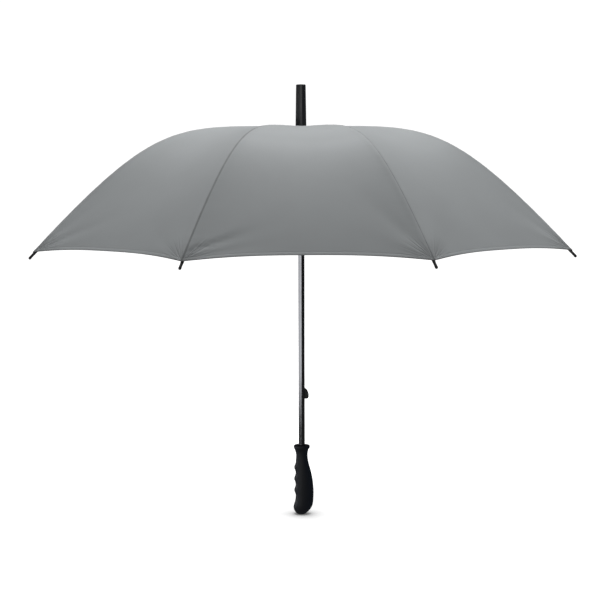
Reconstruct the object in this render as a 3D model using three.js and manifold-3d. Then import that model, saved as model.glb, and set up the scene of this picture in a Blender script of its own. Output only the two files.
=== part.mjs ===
// An open stick umbrella: tubular shaft, sliding runner, eight jointed ribs with their stretchers,
// eight sewn canopy panels, a ferrule and a moulded grip.
// Millimetres, +Z up the shaft. The origin is the lowest point of the grip, on the shaft's axis.
// The grip's finger ridges face -X, the two catches face +X, and one panel faces -Y.
import * as THREE from 'three';
import { mergeVertices } from 'three/addons/utils/BufferGeometryUtils.js';
import Module from 'manifold-3d';

const wasm = await Module();
wasm.setup();

// ---------- driving dimensions ----------

const RIB_COUNT = 8;
const RIB_STEP = (2 * Math.PI) / RIB_COUNT;
const PANEL_HALF_ANGLE = RIB_STEP / 2;
const FIRST_RIB_ANGLE = -1.5 * RIB_STEP;

const SHAFT_RADIUS = 6;
const SHAFT_BORE = 5.3;
const SHAFT_BOTTOM = 18;
const SHAFT_TOP = 796;
const RUNNING_FIT = 0.3;
const SLEEVE_BORE = SHAFT_RADIUS + RUNNING_FIT;

// The canopy's outer face along a rib, as radius and height, from the crown to the rib's end.
const FABRIC_LINE = new THREE.CubicBezierCurve(
  new THREE.Vector2(9, 734),
  new THREE.Vector2(247, 732),
  new THREE.Vector2(277, 749),
  new THREE.Vector2(514.7, 503.9),
);
const FABRIC_THICKNESS = 0.6;
const RIB_DEPTH = 3.6;
const CORNER_SETBACK = 12;
const HEM_SCALLOP = 12;
const PANEL_SAG = 7;
const SEAM_GAP = 0.3;

const NOTCH_PIVOT_RADIUS = 10;
const NOTCH_TOP = 733.1;
const NOTCH_CROWN_RADIUS = 12.6;
const NOTCH_CROWN_BOTTOM = 725.5;
const NOTCH_SLEEVE_RADIUS = 7.3;
const NOTCH_BOTTOM = 714;
const NOTCH_PIN_HEIGHT = 719;

const STRETCHER_PIVOT_RADIUS = 220;
const STRETCHER_PIVOT_DROP = 1.5;
const STRETCHER_LENGTH = 250.9;
const STRETCHER_OFFSET = 4;
const STRETCHER_THICKNESS = 2.8;
const FLEX_RADIUS = 262;

const RUNNER_PIVOT_RADIUS = 12;
const RUNNER_BORE = 6.4;
const RUNNER_CROWN_RADIUS = 16.4;
const RUNNER_CROWN_RISE = 3.6;
const RUNNER_SLEEVE_RADIUS = 9.2;
const RUNNER_FOOT_RADIUS = 12.5;
const RUNNER_FOOT_DROP = 55;
const WINDOW_BOTTOM_DROP = 49;
const WINDOW_TOP_DROP = 26;
const STOP_PIN_RISE = 11;

const BOTTOM_CATCH_HEIGHT = 222;
const CATCH_REACH = 13.6;
const CATCH_HEIGHT = 21;
const CATCH_THICKNESS = 2.4;
const CATCH_SLOT_WIDTH = 3.2;
const CATCH_SLOT_CLEARANCE = 0.4;
const CATCH_FOOT = [2.8, 4.8];
const CATCH_FOOT_PAST = 5;
const SPRING_WIDTH = 3;
const SPRING_THICKNESS = 0.4;

const NOTCH_PIN_RADIUS = 0.9;
const NOTCH_PIN_HOLE_RADIUS = 1.25;
const STOP_PIN_RADIUS = 1.2;
const STOP_PIN_HOLE_RADIUS = 1.5;
const NOTCH_WIRE_RADIUS = 0.55;
const RUNNER_WIRE_RADIUS = 0.5;
const WIRE_HOLE_RADIUS = 1;
const WIRE_SIDES = 6;
const TUBE_SEGMENTS = 24;

const ROD_RADIUS = 1.3;
const TIP_LENGTH = 20;
const TIP_BORE_DEPTH = 7.6;

const WASHER_BOTTOM = 734.3;
const WASHER_TOP = 735.3;
const WASHER_RADIUS = 15;
const FERRULE_BASE = 735.6;
const FERRULE_TOP = 811.4;
const GRIP_TOP = 132.6;
const GRIP_BORE_RADIUS = 9;
const GRIP_BORE_BOTTOM = 11;
const CORE_RADIUS = 8.6;
const CORE_BOTTOM = 11.4;

// ---------- materials ----------

const MATERIALS = {
  canopy_fabric: { color: 0xa3a5a6, roughness: 0.5, metalness: 0.25 },
  shaft_paint: { color: 0x26272a, roughness: 0.32, metalness: 0.6 },
  rib_steel: { color: 0x1d1e20, roughness: 0.42, metalness: 0.7 },
  rib_rod: { color: 0x1a1a1c, roughness: 0.5, metalness: 0.0 },
  tip_plastic: { color: 0x111113, roughness: 0.35, metalness: 0.0 },
  moulded_plastic: { color: 0x1b1c1e, roughness: 0.5, metalness: 0.0 },
  ferrule_plastic: { color: 0x2e2f33, roughness: 0.45, metalness: 0.0 },
  grip_rubber: { color: 0x17181b, roughness: 0.85, metalness: 0.0 },
  bare_steel: { color: 0x8f9194, roughness: 0.35, metalness: 0.9 },
};

const umbrella = new THREE.Group();

function addPart(name, geometry, slot, parent = umbrella) {
  const mesh = new THREE.Mesh(geometry, new THREE.MeshStandardMaterial(MATERIALS[slot]));
  mesh.name = name;
  parent.add(mesh);
  return mesh;
}

// ---------- geometry helpers ----------

function toSolid(geometry) {
  const bare = geometry.clone();
  bare.deleteAttribute('normal');
  bare.deleteAttribute('uv');
  const merged = mergeVertices(bare, 1e-4);
  const vertProperties = new Float32Array(merged.attributes.position.array);
  const triVerts = new Uint32Array(merged.index.array);
  return new wasm.Manifold(new wasm.Mesh({ numProp: 3, vertProperties, triVerts }));
}

function toGeometry(solid) {
  const mesh = solid.getMesh();
  const geometry = new THREE.BufferGeometry();
  geometry.setAttribute('position', new THREE.BufferAttribute(mesh.vertProperties, 3));
  geometry.setIndex(new THREE.BufferAttribute(mesh.triVerts, 1));
  geometry.computeVertexNormals();
  return geometry;
}

function cut(geometry, tools) {
  const solid = tools.reduce((body, tool) => body.subtract(toSolid(tool)), toSolid(geometry));
  return toGeometry(solid);
}

// Turns an outline of [radius, height] pairs about Z; the outline runs anticlockwise.
function turned(outline, segments) {
  const points = outline.map(([radius, height]) => new THREE.Vector2(radius, height));
  return new THREE.LatheGeometry(points, segments).rotateX(Math.PI / 2);
}

function ring(radius, wireRadius, height) {
  const outline = [];
  for (let i = 0; i <= WIRE_SIDES; i += 1) {
    const angle = ((i % WIRE_SIDES) / WIRE_SIDES) * 2 * Math.PI;
    outline.push([radius + wireRadius * Math.cos(angle), height + wireRadius * Math.sin(angle)]);
  }
  return turned(outline, TUBE_SEGMENTS);
}

function crossPin(radius, halfLength, height, alongX) {
  const pin = new THREE.CylinderGeometry(radius, radius, 2 * halfLength, 12);
  if (alongX) pin.rotateZ(Math.PI / 2);
  return pin.translate(0, 0, height);
}

function box(xRange, yRange, zRange) {
  const size = [xRange, yRange, zRange].map(([low, high]) => high - low);
  const middle = [xRange, yRange, zRange].map(([low, high]) => (low + high) / 2);
  return new THREE.BoxGeometry(...size).translate(...middle);
}

// A plate with its outline in the XZ plane, centred on the plane at the given Y.
function plate(shape, thickness, y = 0) {
  const settings = { depth: thickness, bevelEnabled: false, curveSegments: 4 };
  const geometry = new THREE.ExtrudeGeometry(shape, settings);
  return geometry.rotateX(Math.PI / 2).translate(0, y + thickness / 2, 0);
}

function swept(shape, path, steps, curveSegments = 2) {
  return new THREE.ExtrudeGeometry(shape, { steps, extrudePath: path, curveSegments });
}

function circularHole(x, z, radius) {
  return new THREE.Path().absarc(x, z, radius, 0, 2 * Math.PI, false);
}

// A smooth curve through [position, value] stops.
function spline(stops) {
  const positions = stops.map(([position]) => position);
  const values = stops.map(([, value]) => value);
  const interpolant = new THREE.CubicInterpolant(positions, values, 1);
  return (position) => interpolant.evaluate(position)[0];
}

function ribGroup(index) {
  const group = new THREE.Group();
  group.rotation.z = FIRST_RIB_ANGLE + index * RIB_STEP;
  umbrella.add(group);
  return group;
}

// ---------- the rib line, in a rib's own XZ plane ----------

FABRIC_LINE.arcLengthDivisions = 1000;
const FABRIC_LENGTH = FABRIC_LINE.getLength();

function underFabric(distance, depth) {
  const point = FABRIC_LINE.getPointAt(distance / FABRIC_LENGTH);
  const tangent = FABRIC_LINE.getTangentAt(distance / FABRIC_LENGTH);
  return new THREE.Vector3(point.x + depth * tangent.y, 0, point.y - depth * tangent.x);
}

function distanceAtRadius(radius, depth) {
  let near = 0;
  let far = FABRIC_LENGTH;
  for (let i = 0; i < 40; i += 1) {
    const middle = (near + far) / 2;
    if (underFabric(middle, depth).x < radius) near = middle;
    else far = middle;
  }
  return near;
}

function ribPath(from, to, spans) {
  const points = [];
  for (let i = 0; i <= spans; i += 1) {
    points.push(underFabric(from + ((to - from) * i) / spans, RIB_DEPTH));
  }
  return new THREE.CatmullRomCurve3(points);
}

const NOTCH_PIVOT = underFabric(distanceAtRadius(NOTCH_PIVOT_RADIUS, RIB_DEPTH), RIB_DEPTH);
const FLEX_DISTANCE = distanceAtRadius(FLEX_RADIUS, RIB_DEPTH);
const STRETCHER_DEPTH = RIB_DEPTH + STRETCHER_PIVOT_DROP;
const STRETCHER_PIVOT = underFabric(
  distanceAtRadius(STRETCHER_PIVOT_RADIUS, STRETCHER_DEPTH),
  STRETCHER_DEPTH,
);
const STRETCHER_RUN = STRETCHER_PIVOT.x - RUNNER_PIVOT_RADIUS;
const RUNNER_PIVOT_HEIGHT = STRETCHER_PIVOT.z - Math.sqrt(STRETCHER_LENGTH ** 2 - STRETCHER_RUN ** 2);
const TOP_CATCH_HEIGHT = RUNNER_PIVOT_HEIGHT - RUNNER_FOOT_DROP - 0.4;
const STOP_PIN_HEIGHT = RUNNER_PIVOT_HEIGHT + STOP_PIN_RISE;

// ---------- shaft, pins and catches ----------

function catchSlot(flatHeight, direction) {
  const near = flatHeight - CATCH_SLOT_CLEARANCE * direction;
  const far = flatHeight + (CATCH_HEIGHT + CATCH_SLOT_CLEARANCE) * direction;
  const width = [-CATCH_SLOT_WIDTH / 2, CATCH_SLOT_WIDTH / 2];
  return box([0, SHAFT_RADIUS + 2], width, [Math.min(near, far), Math.max(near, far)]);
}

function makeShaft() {
  const tube = turned([
    [SHAFT_BORE, SHAFT_TOP],
    [SHAFT_BORE, SHAFT_BOTTOM],
    [SHAFT_RADIUS, SHAFT_BOTTOM],
    [SHAFT_RADIUS, SHAFT_TOP],
    [SHAFT_BORE, SHAFT_TOP],
  ], TUBE_SEGMENTS);
  const geometry = cut(tube, [
    crossPin(NOTCH_PIN_HOLE_RADIUS, SHAFT_RADIUS + 4, NOTCH_PIN_HEIGHT, true),
    crossPin(STOP_PIN_HOLE_RADIUS, SHAFT_RADIUS + 4, STOP_PIN_HEIGHT, false),
    catchSlot(BOTTOM_CATCH_HEIGHT, 1),
    catchSlot(TOP_CATCH_HEIGHT, -1),
  ]);
  addPart('shaft_tube', geometry, 'shaft_paint');
  addPart('notch_pin', crossPin(NOTCH_PIN_RADIUS, 7.5, NOTCH_PIN_HEIGHT, true), 'bare_steel');
  addPart('runner_stop_pin', crossPin(STOP_PIN_RADIUS, 8.6, STOP_PIN_HEIGHT, false), 'bare_steel');
}

// A fin that stands out of the shaft's slot on a foot wider than the slot. Its flat edge is at
// flatHeight, and it slopes away in the given direction.
function makeCatch(name, flatHeight, direction) {
  const [footInside, footOutside] = CATCH_FOOT;
  const outline = new THREE.Shape();
  outline.moveTo(footInside, -CATCH_FOOT_PAST);
  outline.lineTo(footOutside, -CATCH_FOOT_PAST);
  outline.lineTo(footOutside, 0);
  outline.lineTo(CATCH_REACH - 4, 0);
  outline.quadraticCurveTo(CATCH_REACH, 0, CATCH_REACH, 5.5);
  outline.lineTo(CATCH_REACH, 8);
  outline.bezierCurveTo(CATCH_REACH, 13, 10, 19, SHAFT_RADIUS, CATCH_HEIGHT);
  outline.lineTo(footOutside, CATCH_HEIGHT);
  outline.lineTo(footOutside, CATCH_HEIGHT + CATCH_FOOT_PAST);
  outline.lineTo(footInside, CATCH_HEIGHT + CATCH_FOOT_PAST);
  const points = outline.getPoints(4).map((p) => new THREE.Vector2(p.x, flatHeight + direction * p.y));
  addPart(name, plate(new THREE.Shape(points), CATCH_THICKNESS), 'moulded_plastic');
}

// A leaf spring inside the shaft, lying on the far wall below and pressing behind the catch.
function makeCatchSpring(name, catchMiddle) {
  const [halfWidth, halfThickness] = [SPRING_WIDTH / 2, SPRING_THICKNESS / 2];
  const leaf = new THREE.Shape();
  leaf.moveTo(-halfWidth, -halfThickness);
  leaf.lineTo(halfWidth, -halfThickness);
  leaf.lineTo(halfWidth, halfThickness);
  leaf.lineTo(-halfWidth, halfThickness);
  const path = new THREE.CatmullRomCurve3([
    new THREE.Vector3(-4.6, 0, catchMiddle - 46),
    new THREE.Vector3(-4.5, 0, catchMiddle - 34),
    new THREE.Vector3(-1, 0, catchMiddle - 12),
    new THREE.Vector3(2.2, 0, catchMiddle),
    new THREE.Vector3(1.6, 0, catchMiddle + 7),
  ]);
  addPart(name, swept(leaf, path, 14), 'bare_steel');
}

// ---------- crown: notch, wire, washer and ferrule ----------

function makeNotch() {
  const body = turned([
    [SLEEVE_BORE, NOTCH_TOP],
    [SLEEVE_BORE, NOTCH_BOTTOM],
    [NOTCH_SLEEVE_RADIUS, NOTCH_BOTTOM],
    [NOTCH_SLEEVE_RADIUS, NOTCH_CROWN_BOTTOM],
    [NOTCH_CROWN_RADIUS, NOTCH_CROWN_BOTTOM],
    [NOTCH_CROWN_RADIUS, NOTCH_TOP],
    [SLEEVE_BORE, NOTCH_TOP],
  ], TUBE_SEGMENTS);
  const tools = [
    ring(NOTCH_PIVOT_RADIUS, WIRE_HOLE_RADIUS, NOTCH_PIVOT.z),
    crossPin(NOTCH_PIN_HOLE_RADIUS, SHAFT_RADIUS + 4, NOTCH_PIN_HEIGHT, true),
  ];
  for (let i = 0; i < RIB_COUNT; i += 1) {
    const slot = box([7.7, 16], [-1.7, 1.7], [NOTCH_CROWN_BOTTOM - 1, NOTCH_TOP + 1]);
    tools.push(slot.rotateZ(FIRST_RIB_ANGLE + i * RIB_STEP));
  }
  addPart('top_notch', cut(body, tools), 'moulded_plastic');
  const wire = ring(NOTCH_PIVOT_RADIUS, NOTCH_WIRE_RADIUS, NOTCH_PIVOT.z);
  addPart('notch_wire', wire, 'bare_steel');
}

function makeFerrule() {
  addPart('ferrule_washer', turned([
    [SLEEVE_BORE, WASHER_TOP],
    [SLEEVE_BORE, WASHER_BOTTOM],
    [WASHER_RADIUS, WASHER_BOTTOM],
    [WASHER_RADIUS, WASHER_TOP - 0.4],
    [WASHER_RADIUS - 0.6, WASHER_TOP],
    [SLEEVE_BORE, WASHER_TOP],
  ], 18), 'moulded_plastic');
  addPart('ferrule', turned([
    [0, SHAFT_TOP + 1.5],
    [SLEEVE_BORE, SHAFT_TOP + 1.5],
    [SLEEVE_BORE, FERRULE_BASE],
    [10.1, FERRULE_BASE],
    [9, FERRULE_TOP - 1.2],
    [8.6, FERRULE_TOP - 0.4],
    [7.8, FERRULE_TOP],
    [0, FERRULE_TOP],
  ], 18), 'ferrule_plastic');
}

// ---------- runner ----------

function makeRunner() {
  const pivot = RUNNER_PIVOT_HEIGHT;
  const body = turned([
    [RUNNER_BORE, pivot + RUNNER_CROWN_RISE],
    [RUNNER_BORE, pivot - RUNNER_FOOT_DROP],
    [RUNNER_FOOT_RADIUS, pivot - RUNNER_FOOT_DROP],
    [RUNNER_FOOT_RADIUS, pivot - RUNNER_FOOT_DROP + 3.5],
    [RUNNER_SLEEVE_RADIUS, pivot - RUNNER_FOOT_DROP + 5.5],
    [RUNNER_SLEEVE_RADIUS, pivot - 10],
    [RUNNER_CROWN_RADIUS, pivot - 5],
    [RUNNER_CROWN_RADIUS, pivot + RUNNER_CROWN_RISE],
    [RUNNER_BORE, pivot + RUNNER_CROWN_RISE],
  ], TUBE_SEGMENTS);
  const wireRadius = Math.hypot(RUNNER_PIVOT_RADIUS, STRETCHER_OFFSET);
  const tools = [
    ring(wireRadius, WIRE_HOLE_RADIUS, pivot),
    box([5, 14], [-2.1, 2.1], [pivot - WINDOW_BOTTOM_DROP, pivot - WINDOW_TOP_DROP]),
  ];
  const slotHalf = STRETCHER_THICKNESS / 2 + 0.5;
  for (let i = 0; i < RIB_COUNT; i += 1) {
    const slot = box(
      [9.2, RUNNER_CROWN_RADIUS + 3],
      [STRETCHER_OFFSET - slotHalf, STRETCHER_OFFSET + slotHalf],
      [pivot - 2.7, pivot + 5],
    );
    tools.push(slot.rotateZ(FIRST_RIB_ANGLE + i * RIB_STEP));
  }
  addPart('runner', cut(body, tools), 'moulded_plastic');
  addPart('runner_wire', ring(wireRadius, RUNNER_WIRE_RADIUS, pivot), 'bare_steel');
}

// ---------- ribs, stretchers and tips ----------

// A steel channel, open towards the fabric, with a pierced tongue that turns on the notch wire.
function makeInnerRib(index, group) {
  const channel = new THREE.Shape();
  channel.moveTo(-2.2, -1.2);
  channel.lineTo(-1.7, -1.2);
  channel.lineTo(-1.7, 1.6);
  channel.lineTo(1.7, 1.6);
  channel.lineTo(1.7, -1.2);
  channel.lineTo(2.2, -1.2);
  channel.lineTo(2.2, 2.1);
  channel.lineTo(-2.2, 2.1);
  const channelStart = distanceAtRadius(NOTCH_PIVOT_RADIUS + 6.5, RIB_DEPTH);
  const rail = swept(channel, ribPath(channelStart, FLEX_DISTANCE + 6, 10), 10);
  const eye = 1.9;
  const reach = NOTCH_PIVOT.x + 9;
  const tongue = new THREE.Shape();
  tongue.absarc(NOTCH_PIVOT.x, NOTCH_PIVOT.z, eye, Math.PI / 2, 1.5 * Math.PI, false);
  tongue.lineTo(reach, NOTCH_PIVOT.z - eye);
  tongue.lineTo(reach, NOTCH_PIVOT.z + eye);
  tongue.holes.push(circularHole(NOTCH_PIVOT.x, NOTCH_PIVOT.z, 0.95));
  const solid = toSolid(rail).add(toSolid(plate(tongue, 2.6)));
  addPart(`rib_inner_${index + 1}`, toGeometry(solid), 'rib_steel', group);
}

// A sprung rod that starts inside the channel's end and bends down to the hem.
function makeOuterRib(index, group) {
  const rod = new THREE.Shape().absarc(0, 0, ROD_RADIUS, 0, 2 * Math.PI, false);
  const path = ribPath(FLEX_DISTANCE - 0.4, FABRIC_LENGTH - 8, 10);
  addPart(`rib_outer_${index + 1}`, swept(rod, path, 10, 4), 'rib_rod', group);
}

function makeTip(index, group) {
  const boreEnd = TIP_LENGTH - TIP_BORE_DEPTH;
  const geometry = turned([
    [0, boreEnd],
    [1.7, boreEnd],
    [1.7, 0],
    [2.3, 0],
    [2.3, 8.2],
    [1.8, 9.4],
    [1.8, TIP_LENGTH - 1.2],
    [1.2, TIP_LENGTH - 0.3],
    [0, TIP_LENGTH],
  ], 8);
  const start = underFabric(FABRIC_LENGTH - TIP_LENGTH, RIB_DEPTH);
  const end = underFabric(FABRIC_LENGTH, RIB_DEPTH);
  const tip = addPart(`rib_tip_${index + 1}`, geometry, 'tip_plastic', group);
  tip.position.copy(start);
  tip.rotation.y = Math.atan2(end.x - start.x, end.z - start.z);
}

// A flat bar beside the rib, pierced at both ends, from the runner's wire to the rib.
function makeStretcher(index, group) {
  const eye = 2.2;
  const angle = Math.atan2(STRETCHER_PIVOT.z - RUNNER_PIVOT_HEIGHT, STRETCHER_RUN);
  const bar = new THREE.Shape();
  const quarter = Math.PI / 2;
  const [x, z] = [RUNNER_PIVOT_RADIUS, RUNNER_PIVOT_HEIGHT];
  bar.absarc(x, z, eye, angle + quarter, angle - quarter, false);
  bar.absarc(STRETCHER_PIVOT.x, STRETCHER_PIVOT.z, eye, angle - quarter, angle + quarter, false);
  bar.holes.push(circularHole(x, z, 1.4), circularHole(STRETCHER_PIVOT.x, STRETCHER_PIVOT.z, 1.1));
  const geometry = plate(bar, STRETCHER_THICKNESS, STRETCHER_OFFSET);
  addPart(`stretcher_${index + 1}`, geometry, 'rib_steel', group);
}

// ---------- canopy ----------

// A point of a panel: along runs 0 to 1 from crown to hem, across runs -1 to 1 from rib to rib.
function panelPoint(along, across, depth) {
  const middle = 1 - across ** 2;
  const distance = along * (FABRIC_LENGTH - CORNER_SETBACK - HEM_SCALLOP * middle);
  const sag = PANEL_SAG * Math.sin(Math.PI * along) ** 2 * middle;
  const rib = underFabric(distance, depth + sag);
  const angle = across * (PANEL_HALF_ANGLE - SEAM_GAP / 2 / rib.x);
  const radius = (rib.x * Math.cos(PANEL_HALF_ANGLE)) / Math.cos(angle);
  return [radius * Math.cos(angle), radius * Math.sin(angle), rib.z];
}

function panelGeometry(rows, columns) {
  const positions = [];
  const faces = [];
  const sheet = (rows + 1) * (columns + 1);
  const corner = (row, column) => row * (columns + 1) + column;
  for (const depth of [0, FABRIC_THICKNESS]) {
    for (let row = 0; row <= rows; row += 1) {
      for (let column = 0; column <= columns; column += 1) {
        positions.push(...panelPoint(row / rows, (2 * column) / columns - 1, depth));
      }
    }
  }
  const addQuad = (a, b, c, d) => faces.push(a, b, c, a, c, d);
  for (let row = 0; row < rows; row += 1) {
    for (let column = 0; column < columns; column += 1) {
      const [a, b] = [corner(row, column), corner(row + 1, column)];
      addQuad(a, b, b + 1, a + 1);
      addQuad(sheet + a + 1, sheet + b + 1, sheet + b, sheet + a);
    }
  }
  const border = [];
  for (let row = 0; row < rows; row += 1) border.push(corner(row, 0));
  for (let column = 0; column < columns; column += 1) border.push(corner(rows, column));
  for (let row = rows; row > 0; row -= 1) border.push(corner(row, columns));
  for (let column = columns; column > 0; column -= 1) border.push(corner(0, column));
  border.forEach((a, i) => {
    const b = border[(i + 1) % border.length];
    addQuad(b, a, sheet + a, sheet + b);
  });
  const geometry = new THREE.BufferGeometry();
  geometry.setAttribute('position', new THREE.Float32BufferAttribute(positions, 3));
  geometry.setIndex(faces);
  geometry.computeVertexNormals();
  return geometry;
}

function makePanel(index) {
  const panel = addPart(`canopy_panel_${index + 1}`, panelGeometry(14, 4), 'canopy_fabric');
  panel.rotation.z = FIRST_RIB_ANGLE + (index + 0.5) * RIB_STEP;
}

// ---------- grip ----------

// Half widths of the grip at heights from its foot: towards +X, towards -X and along Y.
const gripRight = spline([
  [0, 6.2], [2, 8.7], [4, 11.2], [8, 15.2], [14, 19.1], [20, 21.1], [30, 22.1], [42, 22.5], [56, 21.8],
  [70, 20], [84, 17.1], [98, 13.3], [112, 11.2], [120, 11.6], [125, 13], [128.5, 15.3],
  [131.4, 15.4], [GRIP_TOP, 14.6],
]);
const gripLeft = spline([
  [0, 8], [2, 10.9], [4, 12.5], [8, 14.9], [13, 16], [18, 15.2], [23, 13.6], [28, 12.4], [36, 11.8],
  [57, 12.1], [80, 12], [99, 11.8], [112, 10.9], [120, 12], [125, 13.5], [128.5, 15.3],
  [131.4, 15.4], [GRIP_TOP, 14.6],
]);
const gripDepth = spline([
  [0, 6.8], [2, 9.4], [4, 11], [8, 13.2], [14, 14.7], [26, 15.5], [46, 15.6], [70, 14.8], [90, 13.3],
  [112, 11], [120, 11.6], [125, 13], [128.5, 15.2], [131.4, 15.4], [GRIP_TOP, 14.6],
]);
const RIDGE_HEIGHTS = [46, 68.3, 90.3];
const RIDGE_HALF_WIDTH = 9.5;
const RIDGE_RISE = 2.6;

function fingerRidge(height) {
  return RIDGE_HEIGHTS.reduce((rise, middle) => {
    const away = Math.min(Math.abs(height - middle) / RIDGE_HALF_WIDTH, 1);
    return rise + RIDGE_RISE * Math.cos((away * Math.PI) / 2) ** 2;
  }, 0);
}

function gripPoint(height, angle) {
  const side = Math.cos(angle);
  const forward = -gripLeft(height) - fingerRidge(height) * Math.max(-side, 0) ** 2;
  const x = side > 0 ? gripRight(height) * side : -forward * side;
  return [x, gripDepth(height) * Math.sin(angle), height];
}

function gripGeometry(levels, around) {
  const positions = [];
  const faces = [];
  for (const height of levels) {
    for (let i = 0; i < around; i += 1) {
      positions.push(...gripPoint(height, (i / around) * 2 * Math.PI));
    }
  }
  for (let level = 0; level < levels.length - 1; level += 1) {
    for (let i = 0; i < around; i += 1) {
      const next = (i + 1) % around;
      const [a, b] = [level * around + i, level * around + next];
      faces.push(a, b, b + around, a, b + around, a + around);
    }
  }
  const top = (levels.length - 1) * around;
  for (let i = 1; i < around - 1; i += 1) {
    faces.push(0, i + 1, i);
    faces.push(top, top + i, top + i + 1);
  }
  const geometry = new THREE.BufferGeometry();
  geometry.setAttribute('position', new THREE.Float32BufferAttribute(positions, 3));
  geometry.setIndex(faces);
  return geometry;
}

function makeGrip() {
  const levels = [0, 1, 2.5, 5, 8];
  for (let height = 12; height < 128; height += 5.8) levels.push(height);
  levels.push(128.5, 131.4, GRIP_TOP);
  const bore = turned([
    [0, GRIP_BORE_BOTTOM],
    [GRIP_BORE_RADIUS, GRIP_BORE_BOTTOM],
    [GRIP_BORE_RADIUS, GRIP_TOP + 1],
    [0, GRIP_TOP + 1],
  ], 20);
  addPart('handle_grip', cut(gripGeometry(levels, 16), [bore]), 'grip_rubber');
  addPart('handle_core', turned([
    [0, SHAFT_BOTTOM - 0.4],
    [SLEEVE_BORE, SHAFT_BOTTOM - 0.4],
    [SLEEVE_BORE, GRIP_TOP - 1],
    [CORE_RADIUS, GRIP_TOP - 1],
    [CORE_RADIUS, CORE_BOTTOM],
    [0, CORE_BOTTOM],
  ].reverse(), 20), 'moulded_plastic');
}

// ---------- assembly ----------

makeShaft();
makeCatch('bottom_catch', BOTTOM_CATCH_HEIGHT, 1);
makeCatch('top_catch', TOP_CATCH_HEIGHT, -1);
makeCatchSpring('bottom_catch_spring', BOTTOM_CATCH_HEIGHT + CATCH_HEIGHT / 2);
makeCatchSpring('top_catch_spring', TOP_CATCH_HEIGHT - CATCH_HEIGHT / 2);
makeNotch();
makeFerrule();
makeRunner();
makeGrip();
for (let i = 0; i < RIB_COUNT; i += 1) {
  const group = ribGroup(i);
  makeInnerRib(i, group);
  makeOuterRib(i, group);
  makeTip(i, group);
  makeStretcher(i, group);
  makePanel(i);
}

export default umbrella;
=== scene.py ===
"""The looks of an open stick umbrella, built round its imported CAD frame.

Metres, +Z up the shaft. Rib k stands at an angle of FIRST_RIB_ANGLE + (k - 1) * RIB_STEP about the
shaft, and gore k of the canopy lies between ribs k and k + 1. Lengths written with * MM are the
umbrella's own dimensions in millimetres.
"""
import math

import bmesh
import bpy
import numpy as np
from mathutils import Matrix, Vector


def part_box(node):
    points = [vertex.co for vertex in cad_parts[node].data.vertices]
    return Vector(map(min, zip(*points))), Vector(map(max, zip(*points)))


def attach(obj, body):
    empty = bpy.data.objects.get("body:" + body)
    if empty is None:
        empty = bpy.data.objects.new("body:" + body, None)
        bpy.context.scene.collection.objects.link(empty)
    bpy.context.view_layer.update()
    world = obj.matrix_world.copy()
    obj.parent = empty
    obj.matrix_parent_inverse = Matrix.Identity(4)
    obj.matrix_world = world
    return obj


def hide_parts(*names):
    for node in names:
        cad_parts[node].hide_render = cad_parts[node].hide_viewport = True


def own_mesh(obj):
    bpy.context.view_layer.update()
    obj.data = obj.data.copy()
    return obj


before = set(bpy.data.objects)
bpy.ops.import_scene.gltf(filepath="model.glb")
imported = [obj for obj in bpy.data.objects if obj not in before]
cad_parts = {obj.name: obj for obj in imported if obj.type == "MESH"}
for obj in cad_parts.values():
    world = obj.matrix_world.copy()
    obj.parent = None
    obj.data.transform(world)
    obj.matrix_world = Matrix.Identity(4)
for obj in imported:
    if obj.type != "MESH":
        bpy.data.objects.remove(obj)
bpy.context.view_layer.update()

MM = 0.001
SEED = 11

# ---------- dimensions shared with the CAD frame ----------

RIB_COUNT = 8
RIB_STEP = 2 * math.pi / RIB_COUNT
GORE_HALF_ANGLE = RIB_STEP / 2
FIRST_RIB_ANGLE = -1.5 * RIB_STEP

# The canopy's outer face along a rib: a Bezier's (radius, height) handles, in millimetres.
FABRIC_LINE = np.array([(9, 734), (247, 732), (277, 749), (514.7, 503.9)], float)
RIB_DEPTH = 3.6

# The canopy's corners stop short of the ribs' ends. Between two ribs its hem is cut back by the scallop,
# in an arch that is squarer the higher its power, and its middle sags.
CORNER_SETBACK = 12.0
HEM_SCALLOP = 12.0
HEM_POWER = 2.8
GORE_SAG = 7.0

# How far out each rib's flex joint is.
FLEX_RADIUS = 262.0

GRIP_TOP = 132.6
TIP_LENGTH = 20.0

# ---------- canopy details, in millimetres ----------

CLOTH_THICKNESS = 0.45
HEM_WIDTH = 6.0
HEM_RISE = 0.18
HEM_STEP = 0.8
STITCH_DIP = 0.12
STITCH_OFFSET = 0.4
STITCH_WIDTH = 0.7
SEAM_WIDTH = 1.3
SEAM_DIP = 0.5
SLACK_SEAM_FADE = 2.2
SEAM_FOLD_RISE = 0.35
SEAM_FOLD_OFFSET = 4.0
SEAM_FOLD_WIDTH = 3.5
PUCKER_RISE = 0.18
PUCKER_REACH = 10.0
PUCKER_WAVES = (23.0, 61.0)
NARROW_GORE = 40.0
CREASE_WIDTH = 4.0
CREASE_FAN = 80.0

# The outer half of a gore has a flap that lies between these shares of the inner half's thickness.
FLAP_LENGTH = 18.0
FLAP_FACES = (0.4, 0.6)

# The mesh: its rows' distances from the hem and its columns' distances from the seam where they are
# close together, and how they are spaced elsewhere.
HEM_ROWS = (37, 30, 23, 17, 12, 9, 7.4, 6.8, 6.2, 5.6, 4.8, 3.6, 2.4, 1.4, 0.7, 0.25, 0)
ROW_SPACING = 7.0
SEAM_COLUMNS = (0, 0.6, 1.2, 2, 3.2, 5, 7.5)
BODY_COLUMNS = 20


def bezier(share):
    """Points and unit tangents of the fabric line at these shares of its parameter."""
    u = np.asarray(share, float)[..., None]
    v = 1 - u
    p0, p1, p2, p3 = FABRIC_LINE
    point = v**3 * p0 + 3 * v * v * u * p1 + 3 * v * u * u * p2 + u**3 * p3
    slope = 3 * v * v * (p1 - p0) + 6 * v * u * (p2 - p1) + 3 * u * u * (p3 - p2)
    return point, slope / np.linalg.norm(slope, axis=-1, keepdims=True)


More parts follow.
